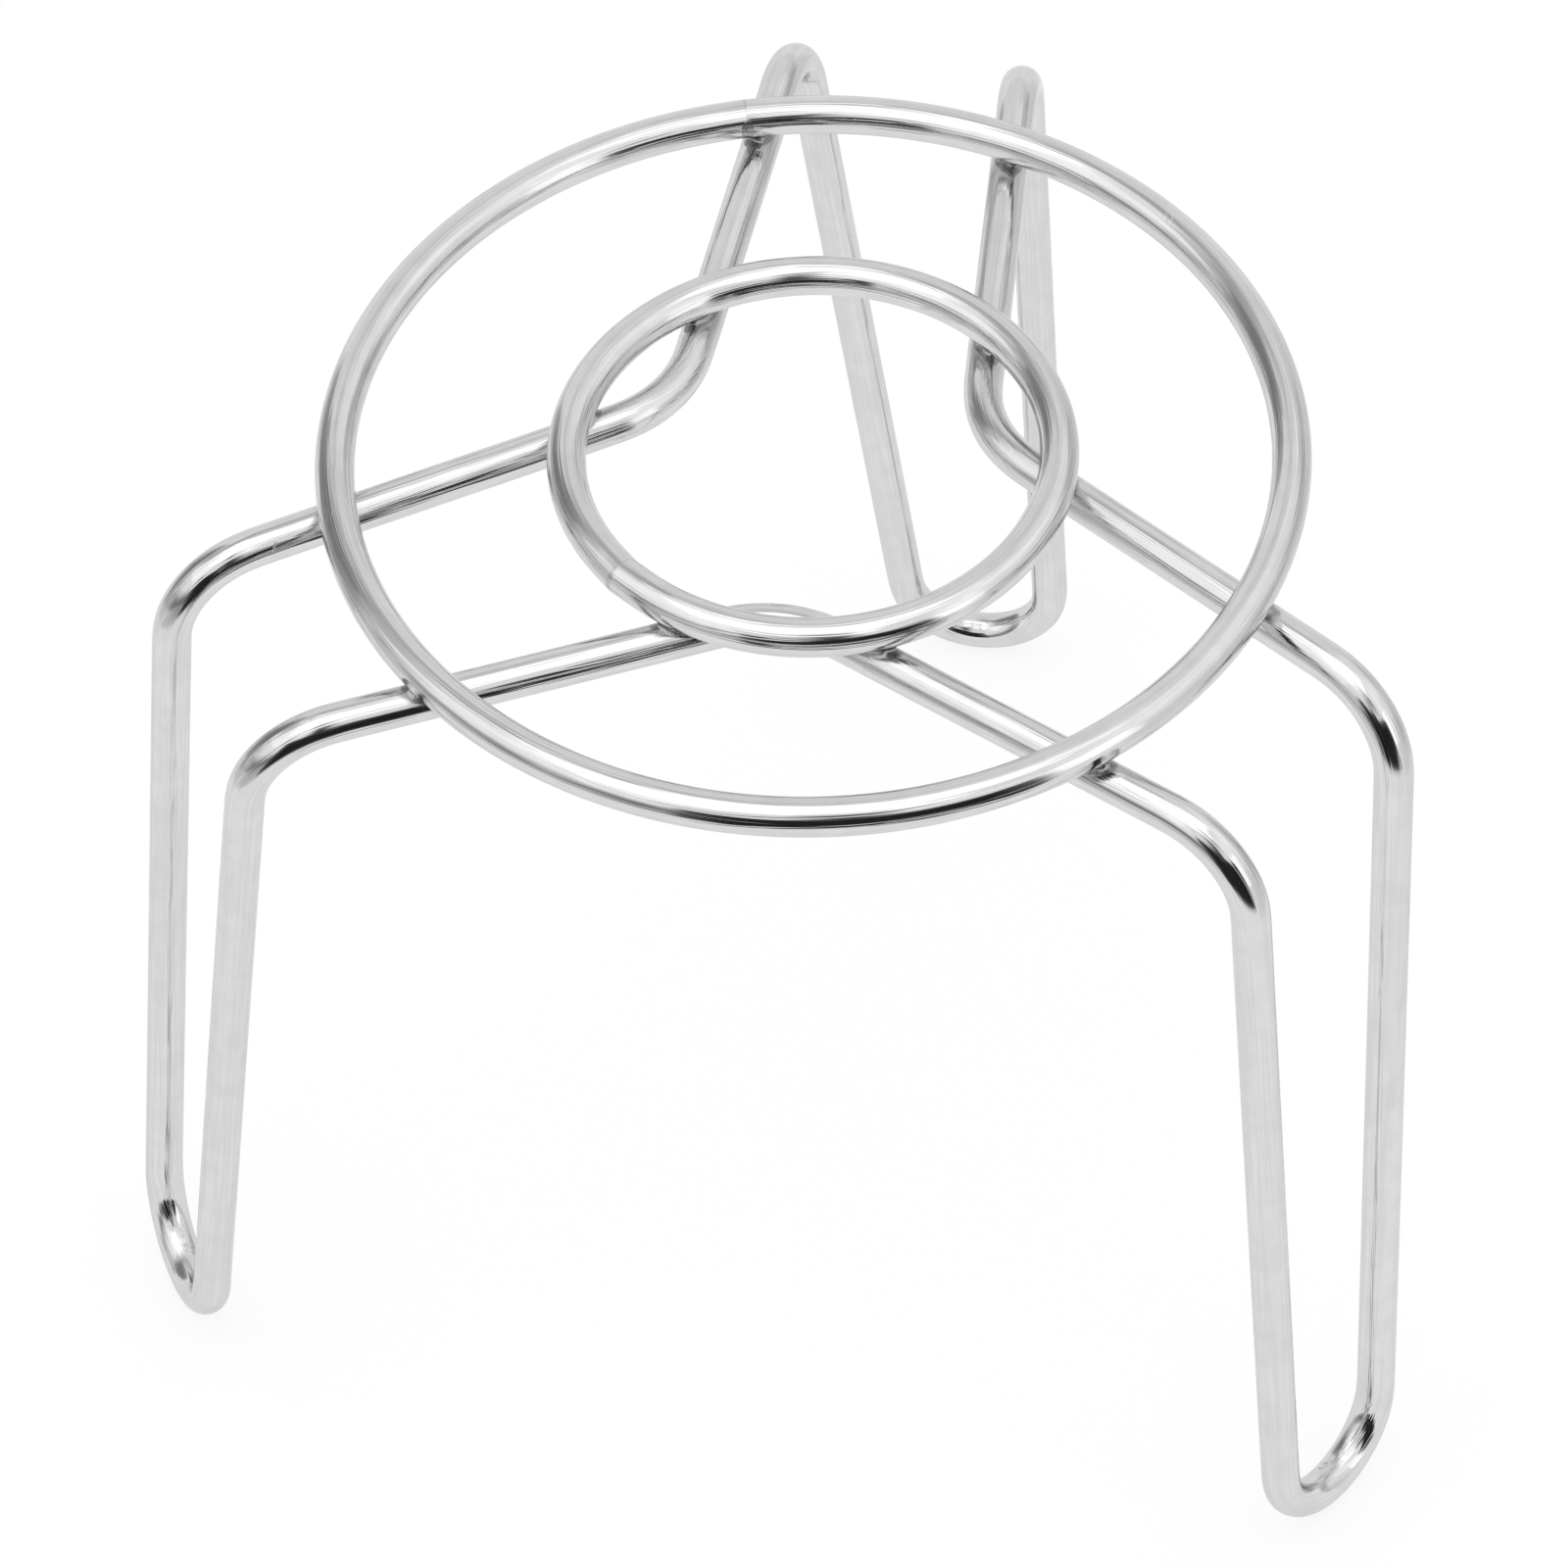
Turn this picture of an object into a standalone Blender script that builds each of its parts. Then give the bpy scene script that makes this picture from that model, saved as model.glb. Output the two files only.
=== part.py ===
"""Tripod stand of bright round wire: two rings welded on three bent leg wires.

Each leg wire is one length of wire: an arm under the rings, a shoulder bend, a leg, a U-bend foot,
a leg, a shoulder bend, an arm and an elbow just inside the inner ring. The three wires meet end to
end under the inner ring. Every weld is a piece of its own.

Metres, +Z up. The origin is on the rings' axis, on the surface that the feet stand on, and +Y points
to the back leg.
"""

import math

import bmesh
import bpy
from mathutils import Matrix, Vector

# Driving dimensions
WIRE_DIAMETER = 0.004
STAND_HEIGHT = 0.110  # from the feet to the top of the rings
OUTER_RING_DIAMETER = 0.100  # over the wire
INNER_RING_DIAMETER = 0.0535  # over the wire
ELBOW_INSET = 0.007  # from the inner ring's centreline in to the elbow's corner
ELBOW_BEND_RADIUS = 0.0135
SHOULDER_OVERHANG = 0.016  # from the outer ring's centreline out to the shoulder's corner
SHOULDER_SPACING = 0.024  # between the two shoulders of one leg
SHOULDER_BEND_RADIUS = 0.0095
FOOT_SPLAY = 0.0085  # from the shoulder's corner out to the foot
FOOT_SIDESTEP = 0.006  # each leg leans this far clockwise, seen from above
FOOT_BEND_RADIUS = 0.0083
FOOT_FLAT_DEPTH = 0.0002  # worn off the underside of each foot
CROSS_WELD_DIAMETER = 0.0048  # where the wires cross squarely
CROSS_WELD_HEIGHT = 0.0032
BUTT_WELD_LENGTH = 0.0012
BUTT_WELD_BULGE = 0.0001  # how far a butt weld stands proud of its wire
WELD_GAP = 0.0003  # between a weld and its wires, and between a ring and an arm
OUTER_SEAM_AZIMUTH = math.radians(107.5)
INNER_SEAM_AZIMUTH = math.radians(230)

# Counts, angles and shares
LEG_NAMES = ("back", "left", "right")
BACK_LEG_AZIMUTH = math.radians(90)
WIRE_SIDES = 12
OUTER_RING_STEPS = 96
INNER_RING_STEPS = 64
BEND_STEP = math.radians(12)  # longest stretch of a bend between two sections
BUTT_WELD_TAPER = 0.2  # of a butt weld's length, over which it swells at each end
BEAD_SEGMENTS = 16
BEAD_RINGS = 8
CUTTER_STEPS = 8  # along the stretch of ring that hollows a weld
SHARP_EDGE = math.radians(40)  # a sharper edge stays crisp under smooth shading

# Finishes: colour and roughness
BRIGHT_WIRE = ((0.74, 0.74, 0.73), 0.2)
WELD_METAL = ((0.55, 0.54, 0.52), 0.38)

# Places that follow from the dimensions
LEG_STEP = 2 * math.pi / len(LEG_NAMES)
OUTER_RING_RADIUS = (OUTER_RING_DIAMETER - WIRE_DIAMETER) / 2
INNER_RING_RADIUS = (INNER_RING_DIAMETER - WIRE_DIAMETER) / 2
RING_LEVEL = STAND_HEIGHT - WIRE_DIAMETER / 2
ARM_LEVEL = RING_LEVEL - WIRE_DIAMETER - WELD_GAP
FOOT_LEVEL = WIRE_DIAMETER / 2 - FOOT_FLAT_DEPTH
SHOULDER_RADIUS = OUTER_RING_RADIUS + SHOULDER_OVERHANG
FOOT_RADIUS = SHOULDER_RADIUS + FOOT_SPLAY
ELBOW_RADIUS = INNER_RING_RADIUS - ELBOW_INSET
BUTT_GAP = BUTT_WELD_LENGTH + 2 * WELD_GAP
UP = Vector((0, 0, 1))


def clear_scene():
    for obj in list(bpy.data.objects):
        bpy.data.objects.remove(obj, do_unlink=True)


def steel(name, colour, roughness):
    material = bpy.data.materials.new(name)
    material.use_nodes = True
    shader = material.node_tree.nodes["Principled BSDF"]
    shader.inputs["Base Color"].default_value = (*colour, 1)
    shader.inputs["Metallic"].default_value = 1
    shader.inputs["Roughness"].default_value = roughness
    return material


def add_object(name, mesh, material, parent, azimuth=0):
    """A named piece whose mesh is turned about the rings' axis to its azimuth."""
    if not mesh.materials:
        mesh.materials.append(material)
    mesh.shade_smooth()
    mesh.set_sharp_from_angle(angle=SHARP_EDGE)
    obj = bpy.data.objects.new(name, mesh)
    obj.parent = parent
    obj.rotation_euler.z = azimuth
    bpy.context.scene.collection.objects.link(obj)
    return obj


def polar(radius, azimuth, level):
    return Vector((radius * math.cos(azimuth), radius * math.sin(azimuth), level))


def arc(centre, start, normal, angle):
    """Points from start round centre by angle, right-handed about normal, both ends included."""
    steps = max(2, math.ceil(abs(angle) / BEND_STEP))
    turns = [Matrix.Rotation(angle * i / steps, 3, normal) for i in range(steps + 1)]
    return [centre + turn @ (start - centre) for turn in turns]


def bend(before, corner, after, radius):
    """The arc of a bend of this radius at a corner, tangent to the runs on both sides of it."""
    back = (before - corner).normalized()
    onward = (after - corner).normalized()
    half = back.angle(onward) / 2
    centre = corner + (back + onward).normalized() * radius / math.sin(half)
    start = corner + back * radius / math.tan(half)
    return arc(centre, start, onward.cross(back).normalized(), math.pi - 2 * half)


def tangent_to_circle(point, centre, radius, normal):
    """Where a line from point touches the circle, on the left of the way to its centre about normal."""
    reach = point - centre
    swing = math.acos(radius / reach.length)
    return centre + Matrix.Rotation(-swing, 3, normal) @ (reach.normalized() * radius)


def leg_path():
    """The wire's centreline for a leg that points along +X, from the middle of one elbow to the next."""
    shoulders = [Vector((SHOULDER_RADIUS, side * SHOULDER_SPACING / 2, ARM_LEVEL)) for side in (-1, 1)]
    elbows = [polar(ELBOW_RADIUS, side * LEG_STEP / 2, ARM_LEVEL) for side in (-1, 1)]
    beyond = [Matrix.Rotation(side * LEG_STEP, 3, "Z") @ shoulders[side < 0] for side in (-1, 1)]

    top = (shoulders[0] + shoulders[1]) / 2
    foot = Vector((FOOT_RADIUS, -FOOT_SIDESTEP, FOOT_LEVEL))
    down = (foot - top).normalized()
    out = (shoulders[0] - shoulders[1]).cross(down).normalized()
    centre = foot - down * FOOT_BEND_RADIUS
    first = tangent_to_circle(shoulders[0], centre, FOOT_BEND_RADIUS, -out)
    last = tangent_to_circle(shoulders[1], centre, FOOT_BEND_RADIUS, out)
    turn = (first - centre).angle(last - centre)
    if (first - centre).cross(last - centre).dot(out) < 0:
        turn = 2 * math.pi - turn

    elbow_in = bend(beyond[0], elbows[0], shoulders[0], ELBOW_BEND_RADIUS)
    elbow_out = bend(shoulders[1], elbows[1], beyond[1], ELBOW_BEND_RADIUS)
    return [
        *elbow_in[len(elbow_in) // 2 :],
        *bend(elbows[0], shoulders[0], first, SHOULDER_BEND_RADIUS),
        *arc(centre, first, out, turn),
        *bend(last, shoulders[1], elbows[1], SHOULDER_BEND_RADIUS),
        *elbow_out[: len(elbow_out) // 2 + 1],
    ]


def lengths_along(path):
    lengths = [0.0]
    for a, b in zip(path, path[1:]):
        lengths.append(lengths[-1] + (b - a).length)
    return lengths


def point_at(path, length):
    """The point on a path at this length from its start."""
    done = 0.0
    for a, b in zip(path, path[1:]):
        step = (b - a).length
        if done + step >= length:
            return a.lerp(b, (length - done) / step)
        done += step
    return path[-1]


def stretch(path, start, end):
    """The part of a path between two lengths along it."""
    inside = [p for p, s in zip(path, lengths_along(path)) if start + WELD_GAP < s < end - WELD_GAP]
    return [point_at(path, start), *inside, point_at(path, end)]


def crossings(path, radius):
    """Lengths along a path at which it passes under a ring of this radius, on its first and last arm.

    A point at share t of a run is at that radius where a quadratic in t has its root.
    """
    found = []
    lengths = lengths_along(path)
    for i, (a, b) in enumerate(zip(path, path[1:])):
        outward = a.xy.length < radius < b.xy.length
        inward = b.xy.length < radius < a.xy.length
        if (outward or inward) and min(a.z, b.z) > ARM_LEVEL - WELD_GAP:
            run = b.xy - a.xy
            nearest = -a.xy.dot(run) / run.length_squared
            spread = math.sqrt(nearest**2 - (a.xy.length_squared - radius**2) / run.length_squared)
            share = nearest + spread if outward else nearest - spread
            found.append(lengths[i] + share * (lengths[i + 1] - lengths[i]))
    return found[0], found[-1]


def ring_path(radius, steps, start, end):
    return [polar(radius, start + (end - start) * i / steps, RING_LEVEL) for i in range(steps + 1)]


def wire(path, diameter, swell=None):
    """A closed bmesh of wire along a path: flats tangent to the round wire, a flat uppermost at its start.

    swell gives each section's own share of the diameter.
    """
    corner_radius = diameter / 2 / math.cos(math.pi / WIRE_SIDES)
    angles = [(i + 0.5) * 2 * math.pi / WIRE_SIDES for i in range(WIRE_SIDES)]
    ways = [(b - a).normalized() for a, b in zip(path, path[1:])]
    bm = bmesh.new()
    sections = []
    up = UP
    for i, point in enumerate(path):
        way = (ways[max(i - 1, 0)] + ways[min(i, len(ways) - 1)]).normalized()
        up = (up - way * up.dot(way)).normalized()
        side = way.cross(up)
        radius = corner_radius * (swell[i] if swell else 1)
        spokes = [math.cos(t) * side + math.sin(t) * up for t in angles]
        sections.append([bm.verts.new(point + radius * spoke) for spoke in spokes])
    for one, two in zip(sections, sections[1:]):
        for i in range(WIRE_SIDES):
            j = (i + 1) % WIRE_SIDES
            bm.faces.new((one[i], one[j], two[j], two[i]))
    bm.faces.new(reversed(sections[0]))
    bm.faces.new(sections[-1])
    bmesh.ops.recalc_face_normals(bm, faces=bm.faces)
    return bm


def to_mesh(name, bm):
    mesh = bpy.data.meshes.new(name)
    bm.to_mesh(mesh)
    bm.free()
    return mesh


def cutter(name, bm):
    """A hidden helper for a Boolean."""
    obj = bpy.data.objects.new(name, to_mesh(name, bm))
    obj.hide_render = True
    obj.display_type = "WIRE"
    bpy.context.scene.collection.objects.link(obj)
    return obj


def ring_mesh(name, radius, steps, seam):
    """A ring of wire, open at its seam by the length that the butt weld fills."""
    half_gap = BUTT_GAP / 2 / radius
    path = ring_path(radius, steps, seam + half_gap, seam + 2 * math.pi - half_gap)
    return to_mesh(name, wire(path, WIRE_DIAMETER))


def leg_mesh(path, joint):
    """One leg wire, from its joint under the inner ring to the next leg's joint, its foot worn flat."""
    onward = [Matrix.Rotation(LEG_STEP, 3, "Z") @ p for p in path]
    whole = path + onward[1:]
    third = lengths_along(path)[-1]
    bm = wire(stretch(whole, joint + BUTT_GAP / 2, joint + third - BUTT_GAP / 2), WIRE_DIAMETER)
    geometry = [*bm.verts, *bm.edges, *bm.faces]
    bmesh.ops.bisect_plane(bm, geom=geometry, plane_co=(0, 0, 0), plane_no=-UP, clear_outer=True)
    bmesh.ops.edgeloop_fill(bm, edges=[e for e in bm.edges if e.is_boundary])
    bmesh.ops.recalc_face_normals(bm, faces=bm.faces)
    return to_mesh("leg_wire", bm)


def butt_weld_mesh(name, path):
    """The bead that joins two wire ends: a short slug, fullest in its middle."""
    ends = (path[0], path[-1])
    shares = (0, BUTT_WELD_TAPER, 1 - BUTT_WELD_TAPER, 1)
    full = 1 + 2 * BUTT_WELD_BULGE / WIRE_DIAMETER
    slug = [ends[0].lerp(ends[1], share) for share in shares]
    return to_mesh(name, wire(slug, WIRE_DIAMETER, (1, full, full, 1)))


def cross_weld_mesh(name, path, length, ring_radius):
    """The bead round the touch of a ring and the arm under it, hollowed to clear both wires.

    It is an ellipsoid that lies along the narrow angle between the wires. Past the place where the
    hollows for the two wires meet, it has the same rim at its ends and at its sides.
    """
    place = point_at(path, length)
    azimuth = math.atan2(place.y, place.x)
    along_ring = polar(1, azimuth + math.pi / 2, 0)
    along_arm = (point_at(path, length + WELD_GAP) - point_at(path, length - WELD_GAP)).normalized()
    if along_arm.dot(along_ring) < 0:
        along_ring = -along_ring
    lie = along_arm + along_ring
    half_angle = along_arm.angle(along_ring) / 2

    cut_radius = WIRE_DIAMETER / 2 + WELD_GAP
    touch = math.sqrt(cut_radius**2 - ((RING_LEVEL - ARM_LEVEL) / 2) ** 2)
    rim = CROSS_WELD_DIAMETER / 2 - touch / math.sin(math.pi / 4)
    half_length = touch / math.sin(half_angle) + rim
    half_width = touch / math.cos(half_angle) + rim

    reach = half_length + WIRE_DIAMETER
    sweep = reach / ring_radius
    ring_piece = ring_path(ring_radius, CUTTER_STEPS, azimuth - sweep, azimuth + sweep)
    arm_piece = stretch(path, max(length - reach, 0), length + reach)

    bm = bmesh.new()
    centre = Matrix.Translation((place.x, place.y, (RING_LEVEL + ARM_LEVEL) / 2))
    turn = Matrix.Rotation(math.atan2(lie.y, lie.x), 4, "Z")
    size = Matrix.Diagonal((half_length, half_width, CROSS_WELD_HEIGHT / 2, 1))
    bmesh.ops.create_uvsphere(
        bm, u_segments=BEAD_SEGMENTS, v_segments=BEAD_RINGS, radius=1, matrix=centre @ turn @ size
    )
    bead = bpy.data.objects.new(name, to_mesh(name, bm))
    bpy.context.scene.collection.objects.link(bead)
    for piece_name, piece in (("ring", ring_piece), ("arm", arm_piece)):
        modifier = bead.modifiers.new(piece_name, "BOOLEAN")
        modifier.operation = "DIFFERENCE"
        modifier.solver = "EXACT"
        modifier.object = cutter(f"{name}_{piece_name}_cutter", wire(piece, 2 * cut_radius))
    graph = bpy.context.evaluated_depsgraph_get()
    mesh = bpy.data.meshes.new_from_object(bead.evaluated_get(graph))
    bpy.data.objects.remove(bead, do_unlink=True)
    return mesh


def build_stand():
    clear_scene()
    bright = steel("bright_wire", *BRIGHT_WIRE)
    fused = steel("weld_metal", *WELD_METAL)
    stand = bpy.data.objects.new("wire_tripod_stand", None)
    bpy.context.scene.collection.objects.link(stand)

    rings = (
        ("outer_ring", OUTER_RING_RADIUS, OUTER_RING_STEPS, OUTER_SEAM_AZIMUTH),
        ("inner_ring", INNER_RING_RADIUS, INNER_RING_STEPS, INNER_SEAM_AZIMUTH),
    )
    for name, radius, steps, seam in rings:
        add_object(name, ring_mesh(name, radius, steps, seam), bright, stand)
        half = BUTT_WELD_LENGTH / 2 / radius
        seam_path = ring_path(radius, 1, seam - half, seam + half)
        weld_name = f"{name}_butt_weld"
        add_object(weld_name, butt_weld_mesh(weld_name, seam_path), fused, stand)

    path = leg_path()
    joint = crossings(path, INNER_RING_RADIUS)[0]
    leg = leg_mesh(path, joint)
    joint_path = stretch(path, joint - BUTT_WELD_LENGTH / 2, joint + BUTT_WELD_LENGTH / 2)
    leg_weld = butt_weld_mesh("leg_butt_weld", joint_path)
    cross_welds = [
        (f"{name}_weld", cross_weld_mesh(f"{name}_weld_{side}", path, length, radius), side)
        for name, radius, _, _ in rings
        for side, length in zip(("first", "second"), crossings(path, radius))
    ]
    for i, leg_name in enumerate(LEG_NAMES):
        azimuth = BACK_LEG_AZIMUTH + i * LEG_STEP
        add_object(f"leg_wire_{leg_name}", leg, bright, stand, azimuth)
        add_object(f"leg_butt_weld_{leg_name}", leg_weld, fused, stand, azimuth)
        for name, mesh, side in cross_welds:
            add_object(f"{name}_{leg_name}_{side}", mesh, fused, stand, azimuth)


build_stand()
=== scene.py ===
"""Looks of a wire tripod stand: bright drawn wire, fused welds, and the studio that the stand is seen in.

A wire is a round section carried along its centreline. A weld is worked out from the two wires that it
joins. Metres, +Z up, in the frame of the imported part, whose +Y points to the back leg.
"""

import math

import bpy
import numpy as np
from mathutils import Matrix, Vector


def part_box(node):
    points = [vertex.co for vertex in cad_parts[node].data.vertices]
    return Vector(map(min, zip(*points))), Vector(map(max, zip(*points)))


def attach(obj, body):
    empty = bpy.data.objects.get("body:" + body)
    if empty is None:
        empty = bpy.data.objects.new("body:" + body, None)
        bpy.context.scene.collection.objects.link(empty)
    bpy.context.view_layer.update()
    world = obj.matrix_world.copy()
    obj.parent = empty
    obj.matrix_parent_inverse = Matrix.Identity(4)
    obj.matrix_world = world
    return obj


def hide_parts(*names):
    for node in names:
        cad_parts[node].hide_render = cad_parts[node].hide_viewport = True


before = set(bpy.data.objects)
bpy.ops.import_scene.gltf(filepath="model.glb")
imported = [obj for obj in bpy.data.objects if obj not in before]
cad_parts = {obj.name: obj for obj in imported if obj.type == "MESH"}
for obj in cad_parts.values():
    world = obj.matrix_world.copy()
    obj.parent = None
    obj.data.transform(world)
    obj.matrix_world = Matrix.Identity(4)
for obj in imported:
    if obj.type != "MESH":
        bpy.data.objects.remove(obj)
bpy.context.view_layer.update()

# Sizes that the frame gives
outer_low, outer_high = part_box("outer_ring")
inner_low, inner_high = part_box("inner_ring")
WIRE_RADIUS = (outer_high.z - outer_low.z) / 2
RING_LEVEL = (outer_high.z + outer_low.z) / 2
OUTER_RING_RADIUS = (outer_high.x - outer_low.x) / 2 - WIRE_RADIUS
INNER_RING_RADIUS = (inner_high.x - inner_low.x) / 2 - WIRE_RADIUS
ARM_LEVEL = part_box("leg_wire_back")[1].z - WIRE_RADIUS

# Bends of a leg wire, as the part has them
ELBOW_INSET = 0.007  # from the inner ring's centreline in to the elbow's corner
ELBOW_BEND_RADIUS = 0.0135
SHOULDER_OVERHANG = 0.016  # from the outer ring's centreline out to the shoulder's corner
SHOULDER_SPACING = 0.024  # between the two shoulders of one leg
SHOULDER_BEND_RADIUS = 0.0095
FOOT_SPLAY = 0.0085  # from the shoulder's corner out to the foot
FOOT_SIDESTEP = 0.006  # each leg leans this far clockwise, seen from above
FOOT_BEND_RADIUS = 0.0083
FOOT_FLAT_DEPTH = 0.0002  # worn off the underside of each foot
BEND_EASE = 0.0010  # length over which a bend's curvature comes in
EASE_REACH = 3  # how many of those lengths the easing looks each way
BEND_OVAL = 0.10  # how far a bend squeezes the round section, as a share of radius over bend radius

# Seams and welds
OUTER_SEAM_AZIMUTH = math.radians(107.5)
INNER_SEAM_AZIMUTH = math.radians(230)
RING_SEAM_LENGTH = 0.0002  # of weld metal that shows between a ring's ends
LEG_SEAM_LENGTH = 0.00004  # the same between two leg wires, polished until it hardly shows
SEAM_SUNK = 0.00001  # how far the weld metal lies under the wires' surface
SEAM_TUCK = 0.0002  # how far the weld metal goes on inside each wire
SEAM_NECK = 0.0001  # how far it has thinned there
SEAM_STRAIGHT = 0.0024  # a ring's ends stay straight for this length
SEAM_HEAT = 0.3  # how dull a seam is once it is ground flush
SHARP_EDGE = math.radians(60)  # faces that turn by more than this meet at a sharp edge
WELD_FILLET = 0.0013  # length over which one wire runs into the other
WELD_REACH = 0.0040  # of a weld from the touch of its wires
WELD_SUNK = 0.00003  # how far a weld stays under a wire that it only passes
WELD_HEAT_AND_SHADE = 1.0  # a cross weld is left as it was fused, and takes the full dark tint, which is partly painted shade of the crevice
WIRE_HEAT_AND_SHADE = 0.6  # the most that a weld's heat dulls the wire, and that painted shade darkens it
WELD_LUMPS = 0.0001  # height of the lumps on a weld
LUMP_COUNT = 12
LUMP_LENGTHS = (0.0009, 0.0024)  # shortest and longest wave of the lumps
LUMP_SEED = 5
HEAT_AND_SHADE_REACH = 0.0007  # length over which a weld's heat dulls the wire and painted shade darkens it

# Counts and steps
LEG_NAMES = ("back", "left", "right")
LEG_STEP = 2 * math.pi / len(LEG_NAMES)
BACK_LEG_AZIMUTH = math.radians(90)
PATH_STEP = 0.0004
WIRE_SIDES = 48
BEND_POINTS = 64
SEAM_ROWS = 25
WELD_ROWS = 72
WELD_SIDES = 144
RAY_TILT = 1.45  # steepest ray of a weld, in radians up or down
RAY_EVENNESS = 0.45  # share of the tilt that is spread evenly, the rest being crowded to the level rays
RAY_STEPS = 48
TINY = 1e-12  # keeps a division from nothing

# Places that follow from the sizes
RINGS = (
    ("outer_ring", OUTER_RING_RADIUS, OUTER_SEAM_AZIMUTH),
    ("inner_ring", INNER_RING_RADIUS, INNER_SEAM_AZIMUTH),
)
LEGS = [(leg, BACK_LEG_AZIMUTH + i * LEG_STEP) for i, leg in enumerate(LEG_NAMES)]
SHOULDER_RADIUS = OUTER_RING_RADIUS + SHOULDER_OVERHANG
FOOT_RADIUS = SHOULDER_RADIUS + FOOT_SPLAY
FOOT_LEVEL = WIRE_RADIUS - FOOT_FLAT_DEPTH
ELBOW_RADIUS = INNER_RING_RADIUS - ELBOW_INSET
LEG_UP = np.array((1, 0, 1)) / math.sqrt(2)  # never along a leg wire that points along +X
RING_UP = np.array((0, 0, 1.0))

# Finishes
EDGE_TINT = (0.85, 0.85, 0.85, 1)  # how steel reflects at a glancing angle
NOISE_MIDDLE = 0.5
LINE_DRAW = 0.02  # die lines are as wide as this share of their length
FINE_LINES = 4.7  # fine lines to each die line
LINE_SPREAD = (0.32, 0.68)  # noise from which the lines go from none to full
FINE_LINE_SPREAD = (0.3, 0.7)
SCORE_WIDTH = 0.09  # noise this far from its middle is clear of a score
STREAK_LINES = 0.35  # of a die line's mark, beside a score's
STREAK_SHADE = 0.36  # how far streaks go from the bright colour to the shade
FINE_LINE_HEIGHT = 0.07  # of a score's depth
BUMP_STRENGTH = 0.35
BUMP_HEIGHT = 0.00004
ROUGHNESS_SPREAD = (0.85, 1.2)  # from the smoothest to the roughest fine line, as shares of smooth
CLOUDS_PER_METRE = 320.0
CLOUD_SPREAD = (0.35, 0.7)
CLOUD_SHADE = 0.3  # how far clouds in the polish go to the shade
SCUFFS_PER_METRE = 260.0
SCUFF_TURN = (0.5, 0.9, 0.3)
SCUFF_STRETCH = (1.0, 0.16, 0.45)
SCUFF_WIDTH = (0.004, 0.022)  # a hairline's full and faded half width, in cells
SCUFF_PATCHES = 0.6  # patches of scuffs to each cell
SCUFF_RARE = 0.78  # patch noise that scuffs start at, for an amount of none
SCUFF_COMMON = 0.3  # how far an amount of 1 lowers that
SCUFF_EDGE = 0.1  # patch noise over which scuffs come in
SCUFF_DULLING = 0.6  # of the way from smooth to dull
HEAT_SPECKS_PER_METRE = 900.0
HEAT_RAGGED = 0.5  # how far specks move the edge of a heated place
# Heat tint, partly painted shade where ring and arm meet: paler grey, then dark grey close to a weld
HEAT_PALE_AND_SHADE = (0.58, 0.58, 0.575, 1)
HEAT_PALE_AND_SHADE_SPREAD = (0.2, 0.6, 0.0, 0.5)  # heat from and to, and the pale colour's share there
HEAT_DARK_AND_SHADE = (0.3, 0.3, 0.295, 1)
HEAT_DARK_AND_SHADE_SPREAD = (0.6, 1.0, 0.0, 0.7)
HEAT_DULL_SPREAD = (0.35, 1.0)
PITS_PER_METRE = 1900.0

# The photograph's camera
CAMERA_AZIMUTH = math.radians(10.76)  # round from the -Y side
CAMERA_ELEVATION = math.radians(49.26)
CAMERA_ROLL = math.radians(-1.96)
CAMERA_DISTANCE = 0.8741  # from the middle of the rings
CAMERA_ASIDE = 0.00289  # the middle of the rings is this far right of the picture's middle
CAMERA_BELOW = 0.03318  # and this far above it
CAMERA_LENS = 200.1
SENSOR_WIDTH = 36.0
RINGS_MIDDLE = Vector((0, 0, RING_LEVEL))

# Studio
WHITE = (1, 1, 1, 1)
SURROUND_LIGHT = 0.92  # the white surround's share of the light on matt surfaces
FLOOR_RADIUS = 0.2
FLOOR_SIDES = 96
FLOOR_COLOUR = (0.98, 0.98, 0.98, 1)
FLOOR_GLOW = 0.8  # the rest of the floor's white comes from the lamps, and holds the shadow
FRONT = CAMERA_AZIMUTH - math.pi / 2  # azimuth of the camera, round from +X
LAMP_DISTANCE = 0.9
CARD_DISTANCE = 1.2
CARD_GAP = 0.06  # from each card back to the next
CARD_POINTS = 25
CARD_RIM = 0.95  # where a card has its rim's brightness, as a share of its half width or height
CARD_FADE = 0.9  # where it starts to fade out

# Lamps: degrees round from the camera, degrees up, half width and half height in degrees, brightness
SOFTBOXES = {
    "overhead_softbox": (-20, 81, 26, 26, 0.55),
    "left_softbox": (-78, 50, 31, 19, 0.25),
    "right_strip": (55, 19, 9, 16, 0.48),
    "right_softbox": (102, 48, 36, 14, 0.15),
}
# Cards, nearest first: the same, with brightness in the middle and at the rim, and the middle's share
CARDS = {
    "dark_screen": (7, 5, 38, 25, 0.015, 0.1, 0.65),
    "dark_post": (5, 30, 14, 36, 0.05, 0.72, 0.1),
    "dark_edge": (-48, 3, 44, 9, 0.2, 0.5, 0.1),
    "grey_screen": (-125, 21, 21, 34, 0.25, 0.45, 0.3),
    "back_screen": (-158, 55, 34, 15, 0.52, 0.9, 0.2),
    "tent_rim_left": (-72, -12, 42, 13, 0.55, 0.88, 0.3),
    "tent_rim_right": (64, -12, 48, 13, 0.55, 0.88, 0.3),
    "low_grey_screen": (-107, 0, 22, 24, 0.34, 0.78, 0.1),
    "front_wall": (-19, -3, 66, 21, 0.44, 0.72, 0.1),
    "right_wall": (103, -7, 46, 24, 0.74, 0.87, 0.15),
    "back_wall": (190, 36, 78, 28, 0.9, 0.88, 0.3),
}
# The edge of the tent's opening, set out round from the top of the picture and up towards the camera
FACING_CAMERA = ("tent_rim_left", "tent_rim_right")


# Paths

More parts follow.
